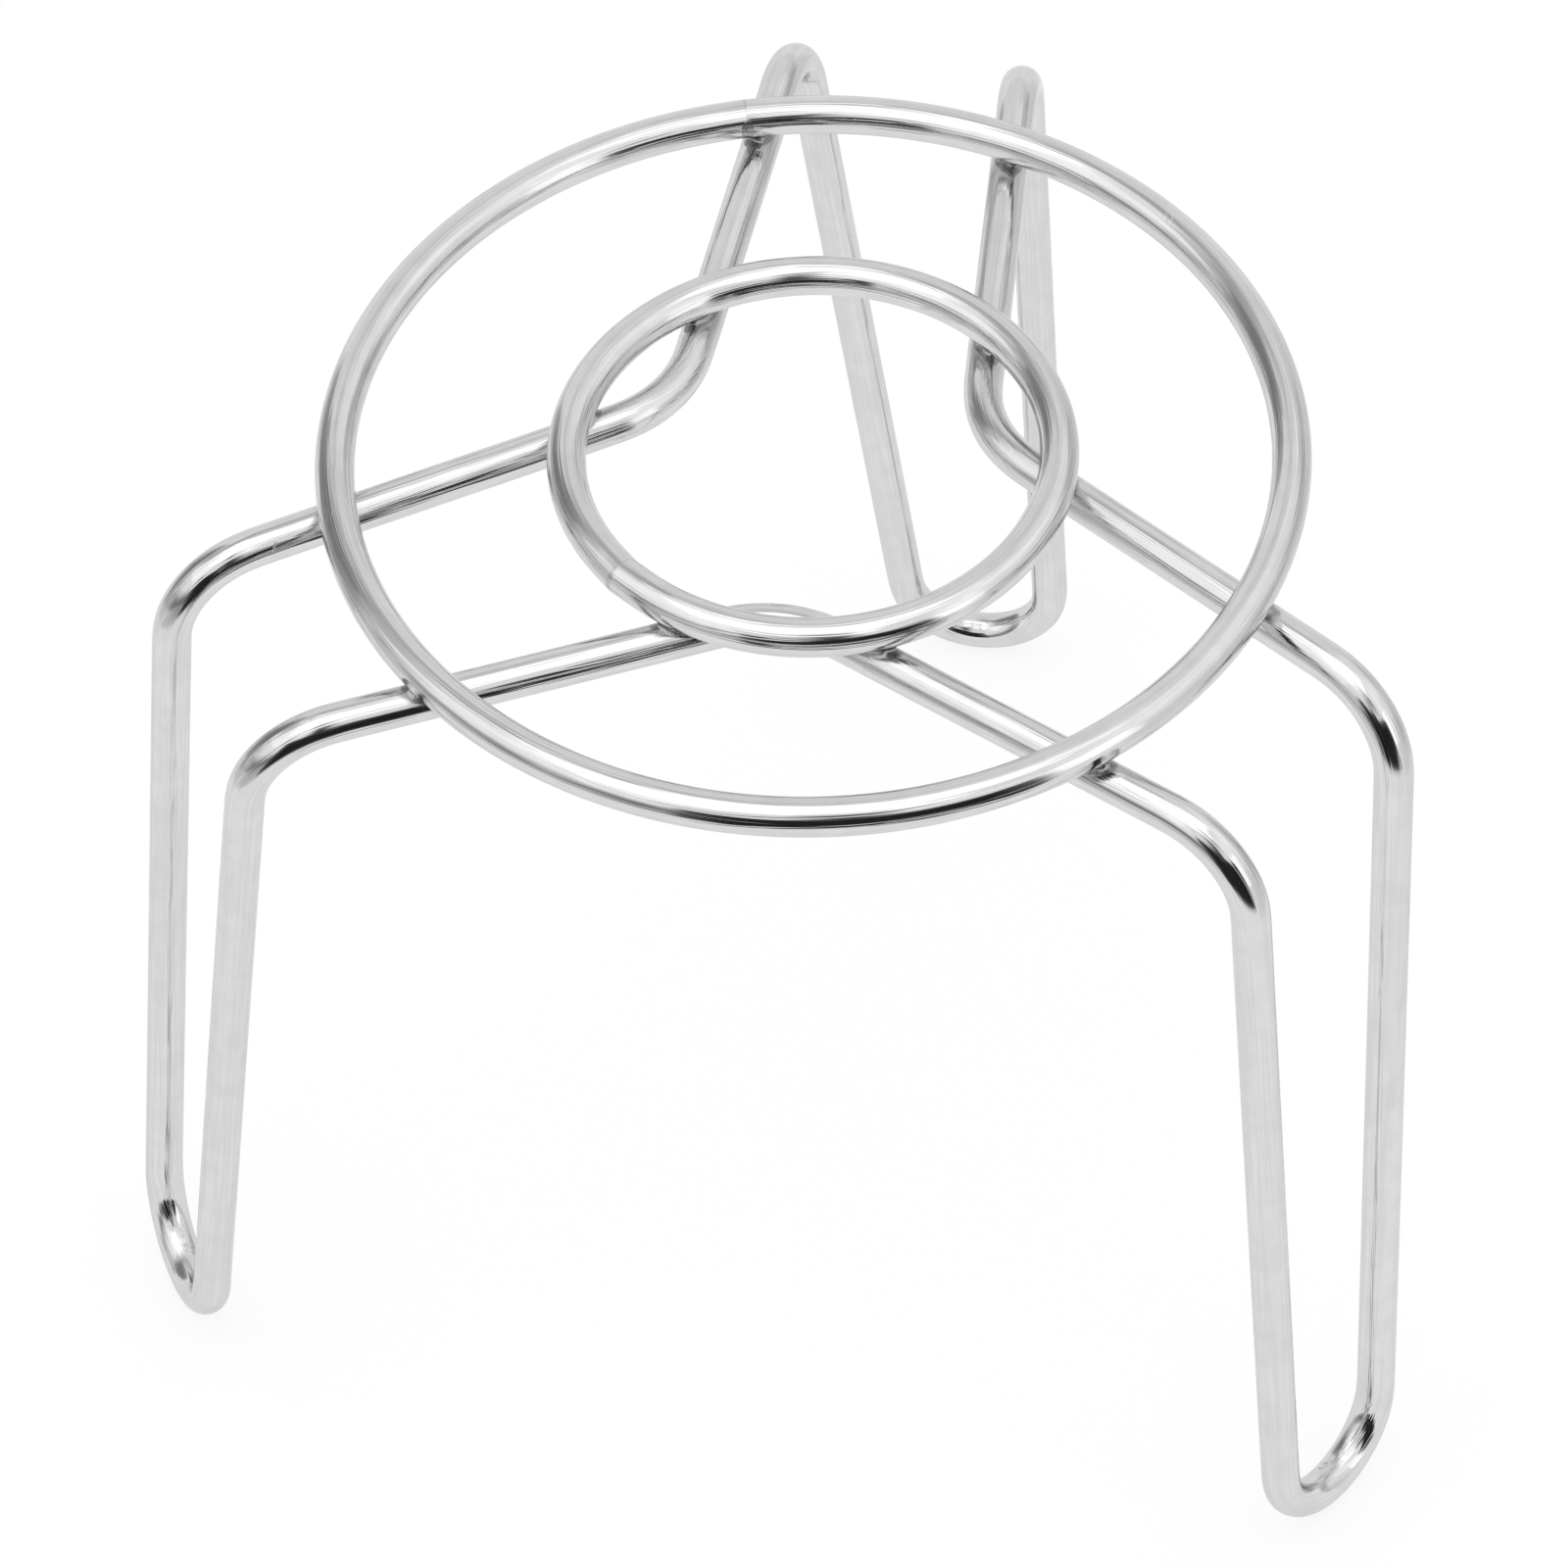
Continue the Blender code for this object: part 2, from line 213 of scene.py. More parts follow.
def unit(vectors):
    """Vectors of the same directions, each 1 long."""
    return vectors / np.linalg.norm(vectors, axis=-1, keepdims=True)


def polar(radius, azimuth, level):
    """Points at these radii, azimuths and levels."""
    parts = np.broadcast_arrays(radius * np.cos(azimuth), radius * np.sin(azimuth), level)
    return np.stack(parts, axis=-1)


def turned(points, azimuth):
    """Points turned about the rings' axis."""
    c, s = math.cos(azimuth), math.sin(azimuth)
    return points @ np.array(((c, s, 0), (-s, c, 0), (0, 0, 1)))


def lengths_along(path):
    """How far along a path each of its points is."""
    return np.concatenate(([0], np.cumsum(np.linalg.norm(np.diff(path, axis=0), axis=1))))


def even_steps(points):
    """A path with a point at every PATH_STEP of its length, or the nearest that divides it."""
    along = lengths_along(points)
    places = np.linspace(0, along[-1], round(along[-1] / PATH_STEP) + 1)
    return np.stack([np.interp(places, along, column) for column in points.T], axis=-1)


def eased(points):
    """A path averaged along itself with a bell curve BEND_EASE wide, so that bends come in softly.

    Each end is padded by its own path turned half round, which holds the end in place.
    """
    reach = math.ceil(EASE_REACH * BEND_EASE / PATH_STEP)
    weights = np.exp(-((np.arange(-reach, reach + 1) * PATH_STEP / BEND_EASE) ** 2) / 2)
    before = 2 * points[0] - points[reach:0:-1]
    after = 2 * points[-1] - points[-2 : -reach - 2 : -1]
    padded = np.concatenate((before, points, after))
    columns = [np.convolve(column, weights / weights.sum(), "valid") for column in padded.T]
    return np.stack(columns, axis=-1)


def rounded_path(corners, radii):
    """A path through corners, each but the ends rounded by an arc of its radius.

    An arc starts radius / tan(half the corner's angle) before the corner. At angle a its point is
    centre + cos(a) (start - centre) + sin(a) radius (way on from the start).
    """
    stretches = [corners[:1]]
    for before, corner, after, radius in zip(corners, corners[1:], corners[2:], radii):
        back = unit(before - corner)
        onward = unit(after - corner)
        half = math.acos(back @ onward) / 2
        start = corner + back * radius / math.tan(half)
        centre = corner + unit(back + onward) * radius / math.sin(half)
        angle = np.linspace(0, math.pi - 2 * half, BEND_POINTS)[:, None]
        stretches.append(centre + np.cos(angle) * (start - centre) - np.sin(angle) * radius * back)
    stretches.append(corners[-1:])
    return eased(even_steps(np.concatenate(stretches)))


def crossing(start, end, radius):
    """Where the level line from start out to end is at this radius from the rings' axis."""
    way = unit(end - start)
    nearest = -start[:2] @ way[:2]
    short = start[:2] @ start[:2] - nearest**2
    return start + way * (nearest + math.sqrt(radius**2 - short))


def leg_corners():
    """Corners of the leg wire that points along +X: shoulders, ends of the foot's bottom, and elbows.

    The foot is a circle tangent to both legs. Its bottom line, square to the leg's middle line, meets
    each leg at a corner, and rounding those two corners gives the circle back.
    """
    shoulders = np.array([(SHOULDER_RADIUS, side * SHOULDER_SPACING / 2, ARM_LEVEL) for side in (-1, 1)])
    elbows = np.array([polar(ELBOW_RADIUS, side * LEG_STEP / 2, ARM_LEVEL) for side in (-1, 1)])
    foot = np.array((FOOT_RADIUS, -FOOT_SIDESTEP, FOOT_LEVEL))
    down = unit(foot - shoulders.mean(axis=0))
    out = unit(np.cross(shoulders[0] - shoulders[1], down))
    centre = foot - down * FOOT_BEND_RADIUS
    bottoms = []
    for side, shoulder in zip((1, -1), shoulders):
        reach = shoulder - centre
        swing = side * math.acos(FOOT_BEND_RADIUS / np.linalg.norm(reach))
        spoke = unit(reach) * FOOT_BEND_RADIUS
        touch = centre + math.cos(swing) * spoke + math.sin(swing) * np.cross(out, spoke)
        share = (foot - shoulder) @ down / ((touch - shoulder) @ down)
        bottoms.append(shoulder + share * (touch - shoulder))
    return shoulders, np.array(bottoms), elbows


def leg_joint(shoulders, elbows):
    """Where the leg wire's first end meets its neighbour, under the inner ring, and its way from there."""
    return crossing(elbows[0], shoulders[0], INNER_RING_RADIUS), unit(shoulders[0] - elbows[0])


def leg_path(shoulders, bottoms, elbows):
    """The leg wire from its joint under the inner ring to the next leg's, less half a seam at each end."""
    joint, way = leg_joint(shoulders, elbows)
    start = joint + way * LEG_SEAM_LENGTH / 2
    end = turned(joint - way * LEG_SEAM_LENGTH / 2, LEG_STEP)
    corners = np.array((start, shoulders[0], *bottoms, shoulders[1], elbows[1], end))
    hairpin = (SHOULDER_BEND_RADIUS, FOOT_BEND_RADIUS, FOOT_BEND_RADIUS, SHOULDER_BEND_RADIUS)
    return rounded_path(corners, (*hairpin, ELBOW_BEND_RADIUS))


def ring_at(radius, along):
    """Points of a ring at lengths along it from its seam, before it is turned to the seam's azimuth.

    A ring's ends stay straight, so there the radius grows by (1 - distance from the seam / straight)
    squared, times straight squared over twice the radius.
    """
    away = np.minimum(along, 2 * math.pi * radius - along)
    lift = SEAM_STRAIGHT**2 / (2 * radius) * np.maximum(1 - np.abs(away) / SEAM_STRAIGHT, 0) ** 2
    return polar(radius + lift, along / radius, RING_LEVEL)


def ring_path(radius, seam):
    """A ring's centreline all the way round from its seam, less half a seam at each end."""
    length = 2 * math.pi * radius
    along = np.linspace(RING_SEAM_LENGTH / 2, length - RING_SEAM_LENGTH / 2, round(length / PATH_STEP))
    return turned(ring_at(radius, along), seam)


# Skins

def skin(path, up, radii, squeeze=BEND_OVAL):
    """Rings of points round a path, and each point's lay: its place on the section and along the wire.

    Each point is the path's, plus the radius times cos(turn) aside and sin(turn) up. A bend squeezes
    the section along its own inside direction and widens it across, by squeeze times radius over bend
    radius.
    """
    way = unit(np.gradient(path, axis=0))
    ups = unit(up - (way @ up)[:, None] * way)
    aside = np.cross(ups, way)
    turn = np.linspace(0, 2 * math.pi, WIRE_SIDES, endpoint=False)
    spokes = np.cos(turn)[:, None] * aside[:, None] + np.sin(turn)[:, None] * ups[:, None]
    along = lengths_along(path)
    curl = np.gradient(way, along, axis=0)
    tight = np.linalg.norm(curl, axis=1)[:, None]
    inside = np.einsum("ijk,ik->ij", spokes, curl)
    oval = 1 - squeeze * WIRE_RADIUS * (2 * inside**2 / np.maximum(tight, TINY) - tight)
    points = path[:, None] + (np.reshape(radii, (-1, 1)) * oval)[..., None] * spokes
    section = (WIRE_RADIUS * np.cos(turn), WIRE_RADIUS * np.sin(turn))
    return points, np.stack(np.broadcast_arrays(*section, along[:, None]), axis=-1)


def seam_places(length):
    """Places along a wire, from a seam's middle, for a seam that shows this length of weld metal."""
    half = length / 2 + SEAM_TUCK
    return np.linspace(-half, half, SEAM_ROWS)


def seam_skin(path, up):
    """A short plug between two wire ends: fullest in its middle, thinned by the fourth power to its ends."""
    share = np.linspace(-1, 1, len(path))
    sunk = SEAM_SUNK + (SEAM_NECK - SEAM_SUNK) * share**4
    return skin(path, up, WIRE_RADIUS - sunk, squeeze=0)


def lump_waves():
    """Waves of scattered directions and lengths, as columns of radians a metre."""
    rng = np.random.default_rng(LUMP_SEED)
    ways = unit(rng.normal(size=(LUMP_COUNT, 3)))
    return (ways * 2 * math.pi / rng.uniform(*LUMP_LENGTHS, (LUMP_COUNT, 1))).T


def weld_field(points, touch, ring_radius, arm_way):
    """A field that is under zero inside a weld's metal and over zero outside it.

    A wire's field is the distance from its centreline less its radius. The two fields are joined by the
    smaller of them, less a quarter of WELD_FILLET where they are equal, easing to nothing where they
    differ by WELD_FILLET. The mean of the lumps' waves is taken off in the same share.
    """
    from_axis = np.hypot(points[..., 0], points[..., 1]) - ring_radius
    ring = np.hypot(from_axis, points[..., 2] - RING_LEVEL) - WIRE_RADIUS + WELD_SUNK
    below = points - (touch + np.array((0, 0, ARM_LEVEL - touch[2])))
    arm = np.linalg.norm(np.cross(below, arm_way), axis=-1) - WIRE_RADIUS + WELD_SUNK
    shared = np.maximum(1 - np.abs(ring - arm) / WELD_FILLET, 0) ** 2
    lumps = np.sin(points @ lump_waves()).mean(axis=-1)
    return np.minimum(ring, arm) - shared * (WELD_FILLET / 4 + WELD_LUMPS * lumps)


def weld_skin(touch, ring_radius, arm_way):
    """Rings of points over a weld, on rays from the touch of its two wires, and each point's lay.

    A ray ends at the first place where the weld's field is over zero, found by steps and then by a
    straight line between two steps. The rays' tilt goes as a mix of the row and the row's cube.
    """
    row = np.linspace(-1, 1, WELD_ROWS)
    tilt = RAY_TILT * (RAY_EVENNESS * row + (1 - RAY_EVENNESS) * row**3)
    azimuth = np.linspace(0, 2 * math.pi, WELD_SIDES, endpoint=False)
    rays = polar(np.cos(tilt)[:, None], azimuth[None], np.sin(tilt)[:, None])
    reach = np.linspace(0, WELD_REACH, RAY_STEPS)
    field = weld_field(touch + rays[:, :, None] * reach[:, None], touch, ring_radius, arm_way)
    outside = field > 0
    outside[..., -1] = True
    last = np.maximum(np.argmax(outside, axis=-1), 1)
    ahead = np.take_along_axis(field, last[..., None], -1)[..., 0]
    behind = np.take_along_axis(field, last[..., None] - 1, -1)[..., 0]
    share = np.where(ahead > 0, -behind / np.maximum(ahead - behind, TINY), 1)
    ends = (last - 1 + share) * WELD_REACH / (RAY_STEPS - 1)
    return touch + rays * ends[..., None], rays * WIRE_RADIUS


def set_attribute(mesh, name, values):
    """A value or a vector for each point of a mesh, which its material reads by this name.

    Cycles keeps a few names, such as heat and flame, for smoke and reads nothing by them on a mesh.
    """
    kind, field = ("FLOAT", "value") if values.ndim == 1 else ("FLOAT_VECTOR", "vector")
    attribute = mesh.attributes.new(name, kind, "POINT")
    attribute.data.foreach_set(field, values.astype(np.float32).ravel())


def closed_mesh(name, rings, lay, heat):
    """A mesh of quads between neighbouring rings of points, with a fan of triangles over each end."""
    rows, sides = rings.shape[:2]
    points = np.concatenate((rings.reshape(-1, 3), rings[:1].mean(axis=1), rings[-1:].mean(axis=1)))
    lays = np.concatenate((lay.reshape(-1, 3), lay[:1].mean(axis=1), lay[-1:].mean(axis=1)))
    heats = np.concatenate((heat.reshape(-1), heat[:1].mean(axis=1), heat[-1:].mean(axis=1)))
    j = np.arange(sides)
    k = (j + 1) % sides
    row = np.arange(rows - 1)[:, None] * sides
    quads = np.stack((row + j, row + k, row + sides + k, row + sides + j), axis=-1).reshape(-1, 4)
    first_pole, last_pole = rows * sides, rows * sides + 1
    top = (rows - 1) * sides
    first_fan = np.stack((np.full(sides, first_pole), k, j), axis=-1)
    last_fan = np.stack((np.full(sides, last_pole), top + j, top + k), axis=-1)
    corners = np.concatenate((quads.ravel(), first_fan.ravel(), last_fan.ravel()))
    fan_starts = quads.size + np.arange(2 * sides) * 3
    starts = np.concatenate((np.arange(len(quads)) * 4, fan_starts))
    mesh = bpy.data.meshes.new(name)
    mesh.vertices.add(len(points))
    mesh.vertices.foreach_set("co", points.astype(np.float32).ravel())
    mesh.loops.add(len(corners))
    mesh.loops.foreach_set("vertex_index", corners.astype(np.int32))
    mesh.polygons.add(len(starts))
    mesh.polygons.foreach_set("loop_start", starts.astype(np.int32))
    mesh.update(calc_edges=True)
    mesh.validate()
    set_attribute(mesh, "lay", lays)
    set_attribute(mesh, "weld_heat_and_shade", heats)
    mesh.shade_smooth()
    mesh.set_sharp_from_angle(angle=SHARP_EDGE)
    return mesh


def heat_and_shade_at(points, hot_places):
    """How far a weld's heat has dulled each point, and how far painted shade darkens it: a bell curve of its
    distance to the nearest weld.
    """
    flat = points.reshape(-1, 1, 3)
    away = np.linalg.norm(flat - hot_places, axis=-1).min(axis=1) - WIRE_RADIUS
    return WIRE_HEAT_AND_SHADE * np.exp(-((np.maximum(away, 0) / HEAT_AND_SHADE_REACH) ** 2)).reshape(points.shape[:-1])


def add_piece(name, rings, lay, heat, material, node):
    """A finished piece that rides on the stand and stands for a node of the frame."""
    mesh = closed_mesh(name, rings, lay, heat)
    mesh.materials.append(material)
    piece = bpy.data.objects.new(name, mesh)
    bpy.context.scene.collection.objects.link(piece)
    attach(piece, "root")
    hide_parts(node)


# Finishes

def add(tree, kind, inputs=None, **settings):
    """A node with these settings. Each input, by name or number, is a value or another node's socket."""
    node = tree.nodes.new(kind)
    for key, value in settings.items():
        setattr(node, key, value)
    for key, value in (inputs or {}).items():
        if isinstance(value, bpy.types.NodeSocket):
            tree.links.new(value, node.inputs[key])
        else:
            node.inputs[key].default_value = value
    return node


def math_node(tree, operation, a, b=0.0, clamp=False):
    """The result of one sum on two values."""
    return add(tree, "ShaderNodeMath", {0: a, 1: b}, operation=operation, use_clamp=clamp).outputs[0]


def product(tree, a, b):
    """Two values multiplied."""
    return math_node(tree, "MULTIPLY", a, b)


def spread(tree, value, low, high, to_low=0.0, to_high=1.0, kind="SMOOTHSTEP"):
    """A value from low to high, spread over another range."""
    inputs = {"Value": value, "From Min": low, "From Max": high, "To Min": to_low, "To Max": to_high}
    return add(tree, "ShaderNodeMapRange", inputs, interpolation_type=kind).outputs[0]


def mixed(tree, share, a, b):
    """Colour a, mixed with colour b by a share."""
    return add(tree, "ShaderNodeMix", {0: share, 6: a, 7: b}, data_type="RGBA").outputs[2]


def noise(tree, where, scale, **settings):
    """Noise at a place, with this many features to the metre."""
    return add(tree, "ShaderNodeTexNoise", {"Vector": where, "Scale": scale, **settings}).outputs["Fac"]


def new_group(name, inputs, outputs):
    """An empty shader group with these sockets, its inputs to read and its outputs to link to."""
    group = bpy.data.node_groups.new(name, "ShaderNodeTree")
    for direction, sockets in (("INPUT", inputs), ("OUTPUT", outputs)):
        for socket, kind in sockets.items():
            group.interface.new_socket(socket, in_out=direction, socket_type=f"NodeSocket{kind}")
    return group, group.nodes.new("NodeGroupInput").outputs, group.nodes.new("NodeGroupOutput").inputs


def place(tree, group, inputs):
    """The outputs of a group placed in a material."""
    return add(tree, "ShaderNodeGroup", inputs, node_tree=group).outputs


def die_lines_group():
    """Lines that the drawing die leaves along a wire: noise on the section, drawn out along the length.

    Scores are the deeper ones, where the noise is close to its middle value.
    """
    inputs = {"Lay": "Vector", "Lines per metre": "Float", "Draw": "Float"}
    outputs = {"Lines": "Float", "Fine lines": "Float", "Scores": "Float"}
    group, given, result = new_group("die_lines", inputs, outputs)
    drawn = add(group, "ShaderNodeCombineXYZ", {0: 1.0, 1: 1.0, 2: given["Draw"]}).outputs[0]
    lay = add(group, "ShaderNodeVectorMath", {0: given["Lay"], 1: drawn}, operation="MULTIPLY").outputs[0]
    lines = noise(group, lay, given["Lines per metre"], Detail=2.0, Roughness=0.6)
    fine_scale = product(group, given["Lines per metre"], FINE_LINES)
    fine_lines = noise(group, lay, fine_scale, Detail=2.0, Roughness=0.7)
    from_middle = math_node(group, "ABSOLUTE", math_node(group, "SUBTRACT", lines, NOISE_MIDDLE))
    group.links.new(spread(group, lines, *LINE_SPREAD), result["Lines"])
    group.links.new(spread(group, fine_lines, *FINE_LINE_SPREAD), result["Fine lines"])
    group.links.new(spread(group, from_middle, 0.0, SCORE_WIDTH, 1.0, 0.0), result["Scores"])
    return group


def scuffs_group():
    """Short hairline scratches: the thin edges of stretched cells, kept only in scattered patches."""
    inputs = {"Place": "Vector", "Cells per metre": "Float", "Amount": "Float"}
    group, given, result = new_group("scuffs", inputs, {"Scuffs": "Float"})
    turn = {"Vector": given["Place"], "Rotation": SCUFF_TURN, "Scale": SCUFF_STRETCH}
    slanted = add(group, "ShaderNodeMapping", turn).outputs[0]
    cells = {"Vector": slanted, "Scale": given["Cells per metre"], "Randomness": 1.0}
    edge = add(group, "ShaderNodeTexVoronoi", cells, feature="DISTANCE_TO_EDGE").outputs["Distance"]
    hair = spread(group, edge, *SCUFF_WIDTH, 1.0, 0.0)
    patches = noise(group, given["Place"], product(group, given["Cells per metre"], SCUFF_PATCHES))
    least = math_node(group, "SUBTRACT", SCUFF_RARE, product(group, given["Amount"], SCUFF_COMMON))
    kept = spread(group, patches, least, math_node(group, "ADD", least, SCUFF_EDGE))
    group.links.new(product(group, hair, kept), result["Scuffs"])
    return group


def heat_and_shade_group():
    """Dulling that a weld's heat leaves on bright steel, with painted shade of the crevice where ring and
    arm meet: pale grey at its edge, darker close to the weld.
    """
    inputs = {"Heat": "Float", "Place": "Vector", "Bright": "Color"}
    group, given, result = new_group("heat_tint_and_shade", inputs, {"Color": "Color", "Dull": "Float"})
    specks = noise(group, given["Place"], HEAT_SPECKS_PER_METRE, Detail=3.0)
    ragged = product(group, math_node(group, "SUBTRACT", specks, NOISE_MIDDLE), HEAT_RAGGED)
    heat = math_node(group, "ADD", given["Heat"], product(group, ragged, given["Heat"]), clamp=True)
    pale = mixed(group, spread(group, heat, *HEAT_PALE_AND_SHADE_SPREAD), given["Bright"], HEAT_PALE_AND_SHADE)
    # Dark grey close to the weld: partly heat, partly painted shade of the crevice
    dark = mixed(group, spread(group, heat, *HEAT_DARK_AND_SHADE_SPREAD), pale, HEAT_DARK_AND_SHADE)
    group.links.new(dark, result["Color"])
    group.links.new(spread(group, heat, *HEAT_DULL_SPREAD), result["Dull"])
    return group


GROUPS = {"die_lines": die_lines_group(), "scuffs": scuffs_group(), "heat_tint_and_shade": heat_and_shade_group()}


def steel(name, bright, shade, smooth, dull, lines_per_metre, lump_height, scuffing):
    """Bright steel: die lines, cloudy polish, hairline scuffs, and dulling and painted shade near welds.

    bright and shade are the colours of the polish and of its lines, smooth and dull the roughness of
    clean and of scuffed or heated metal.
    """
    material = bpy.data.materials.new(name)
    material.use_nodes = True
    tree = material.node_tree
    shader = tree.nodes["Principled BSDF"]
    shader.inputs["Metallic"].default_value = 1.0
    shader.inputs["Specular Tint"].default_value = EDGE_TINT

    spot = add(tree, "ShaderNodeTexCoord").outputs["Object"]
    lay = add(tree, "ShaderNodeAttribute", attribute_name="lay").outputs["Vector"]
    # How far weld heat dulls this point and painted shade darkens it
    heat = add(tree, "ShaderNodeAttribute", attribute_name="weld_heat_and_shade").outputs["Fac"]
    drawing = {"Lay": lay, "Lines per metre": lines_per_metre, "Draw": LINE_DRAW}
    lines = place(tree, GROUPS["die_lines"], drawing)
    handling = {"Place": spot, "Cells per metre": SCUFFS_PER_METRE, "Amount": scuffing}
    scuffs = place(tree, GROUPS["scuffs"], handling)["Scuffs"]

    marks = product(tree, lines["Lines"], STREAK_LINES)
    streaks = math_node(tree, "ADD", marks, lines["Scores"], clamp=True)
    streaked = mixed(tree, product(tree, streaks, STREAK_SHADE), bright, shade)
    clouds = noise(tree, spot, CLOUDS_PER_METRE, Detail=4.0)
    clouded = mixed(tree, spread(tree, clouds, *CLOUD_SPREAD, 0.0, CLOUD_SHADE), streaked, shade)
    # Heat tint, partly painted shade at the welds
    tint = place(tree, GROUPS["heat_tint_and_shade"], {"Heat": heat, "Place": spot, "Bright": clouded})
    tree.links.new(tint["Color"], shader.inputs["Base Color"])

    worn = math_node(tree, "MAXIMUM", tint["Dull"], product(tree, scuffs, SCUFF_DULLING))
    smoothest, roughest = (smooth * share for share in ROUGHNESS_SPREAD)
    ripple = spread(tree, lines["Fine lines"], 0.0, 1.0, smoothest, roughest, "LINEAR")
    blur = add(tree, "ShaderNodeMix", {0: worn, 2: ripple, 3: dull}).outputs[0]
    tree.links.new(blur, shader.inputs["Roughness"])

    pits = noise(tree, spot, PITS_PER_METRE, Detail=4.0)
    lumpy = product(tree, product(tree, pits, tint["Dull"]), lump_height)
    ridges = product(tree, lines["Fine lines"], FINE_LINE_HEIGHT)
    drawn = math_node(tree, "SUBTRACT", ridges, lines["Scores"])
    height = math_node(tree, "ADD", drawn, math_node(tree, "SUBTRACT", lumpy, scuffs))
    relief = {"Strength": BUMP_STRENGTH, "Distance": BUMP_HEIGHT, "Height": height}
    tree.links.new(add(tree, "ShaderNodeBump", relief).outputs["Normal"], shader.inputs["Normal"])
    return material


# Studio

def sight_axes():
    """The camera's right, up and backward directions."""
    back = Vector(polar(math.cos(CAMERA_ELEVATION), FRONT, math.sin(CAMERA_ELEVATION)))
    level = Vector((math.cos(CAMERA_AZIMUTH), math.sin(CAMERA_AZIMUTH), 0))
    upright = back.cross(level)
    right = math.cos(CAMERA_ROLL) * level + math.sin(CAMERA_ROLL) * upright
    up = math.cos(CAMERA_ROLL) * upright - math.sin(CAMERA_ROLL) * level
    return right, up, back


def add_camera():
    """The photograph's camera, aimed so that the rings stand where the picture has them."""
    right, up, back = sight_axes()
    data = bpy.data.cameras.new("photograph_view")
    data.lens = CAMERA_LENS
    data.sensor_width = SENSOR_WIDTH
    camera = bpy.data.objects.new("photograph_view", data)
    spot = RINGS_MIDDLE + CAMERA_DISTANCE * back - CAMERA_ASIDE * right - CAMERA_BELOW * up
    turn = Matrix((right, up, back)).transposed().to_4x4()
    camera.matrix_world = Matrix.Translation(spot) @ turn
    bpy.context.scene.collection.objects.link(camera)
    bpy.context.scene.camera = camera


def empty_tree(owner):
    """The node tree of a material or a world, with no nodes in it."""
    owner.use_nodes = True
    owner.node_tree.nodes.clear()
    return owner.node_tree


def shown_directly(tree):
    """1 on rays from the camera and on those that metal or glass sends on, else 0."""
    ray = add(tree, "ShaderNodeLightPath").outputs
    seen = math_node(tree, "MAXIMUM", ray["Is Camera Ray"], ray["Is Glossy Ray"])
    return math_node(tree, "MAXIMUM", seen, ray["Is Transmission Ray"])


def add_world():
    """A white surround that lights matt surfaces by SURROUND_LIGHT."""
    world = bpy.data.worlds.new("white_surround")
    bpy.context.scene.world = world
    tree = empty_tree(world)
    strength = spread(tree, shown_directly(tree), 0.0, 1.0, SURROUND_LIGHT, 1.0, "LINEAR")
    surround = add(tree, "ShaderNodeBackground", {"Color": WHITE, "Strength": strength})
    add(tree, "ShaderNodeOutputWorld", {"Surface": surround.outputs[0]})


def add_floor():
    """A round white floor: it glows white to the eye and in reflections, and takes the stand's shadow."""
    azimuth = np.linspace(0, 2 * math.pi, FLOOR_SIDES, endpoint=False)
    mesh = bpy.data.meshes.new("floor")
    mesh.from_pydata(polar(FLOOR_RADIUS, azimuth, 0.0).tolist(), [], [list(range(FLOOR_SIDES))])
    material = bpy.data.materials.new("white_floor")
    tree = empty_tree(material)
    glow = add(tree, "ShaderNodeEmission", {"Color": WHITE, "Strength": 1.0})
    matt = add(tree, "ShaderNodeBsdfDiffuse", {"Color": FLOOR_COLOUR})
    share = product(tree, shown_directly(tree), FLOOR_GLOW)
    both = add(tree, "ShaderNodeMixShader", {0: share, 1: matt.outputs[0], 2: glow.outputs[0]})
    add(tree, "ShaderNodeOutputMaterial", {"Surface": both.outputs[0]})
    mesh.materials.append(material)
    floor = bpy.data.objects.new("floor", mesh)
    bpy.context.scene.collection.objects.link(floor)


def add_softbox(name, azimuth, elevation, width, height, glow):
    """A rectangular soft light aimed at the rings. glow is its brightness, where 1 is white."""
    data = bpy.data.lights.new(name, "AREA")
    data.shape = "RECTANGLE"
    data.size = width
    data.size_y = height
    data.energy = glow * math.pi * width * height
    lamp = bpy.data.objects.new(name, data)
    away = Vector(polar(math.cos(elevation), azimuth, math.sin(elevation)))
    aim = away.to_track_quat("Z", "Y").to_matrix().to_4x4()
    lamp.matrix_world = Matrix.Translation(RINGS_MIDDLE + away * LAMP_DISTANCE) @ aim
    lamp.visible_camera = False
    bpy.context.scene.collection.objects.link(lamp)


def card_finish(name, middle, rim, core):
    """A card whose glow goes from its middle to its rim, and which fades out at its edge.

    Its distance from the middle is the larger of u and v, whatever their signs.
    """
    material = bpy.data.materials.new(name)
    tree = empty_tree(material)
    card = add(tree, "ShaderNodeAttribute", attribute_name="card").outputs["Vector"]
    away = add(tree, "ShaderNodeVectorMath", {0: card}, operation="ABSOLUTE").outputs[0]
    across = add(tree, "ShaderNodeSeparateXYZ", {0: away}).outputs
    far = math_node(tree, "MAXIMUM", across["X"], across["Y"])
    glow = spread(tree, far, core, CARD_RIM, middle, rim)
    shine = add(tree, "ShaderNodeEmission", {"Color": WHITE, "Strength": glow})
    clear = add(tree, "ShaderNodeBsdfTransparent")
    fade = spread(tree, far, CARD_FADE, 1.0)
    both = add(tree, "ShaderNodeMixShader", {0: fade, 1: shine.outputs[0], 2: clear.outputs[0]})
    add(tree, "ShaderNodeOutputMaterial", {"Surface": both.outputs[0]})
    return material


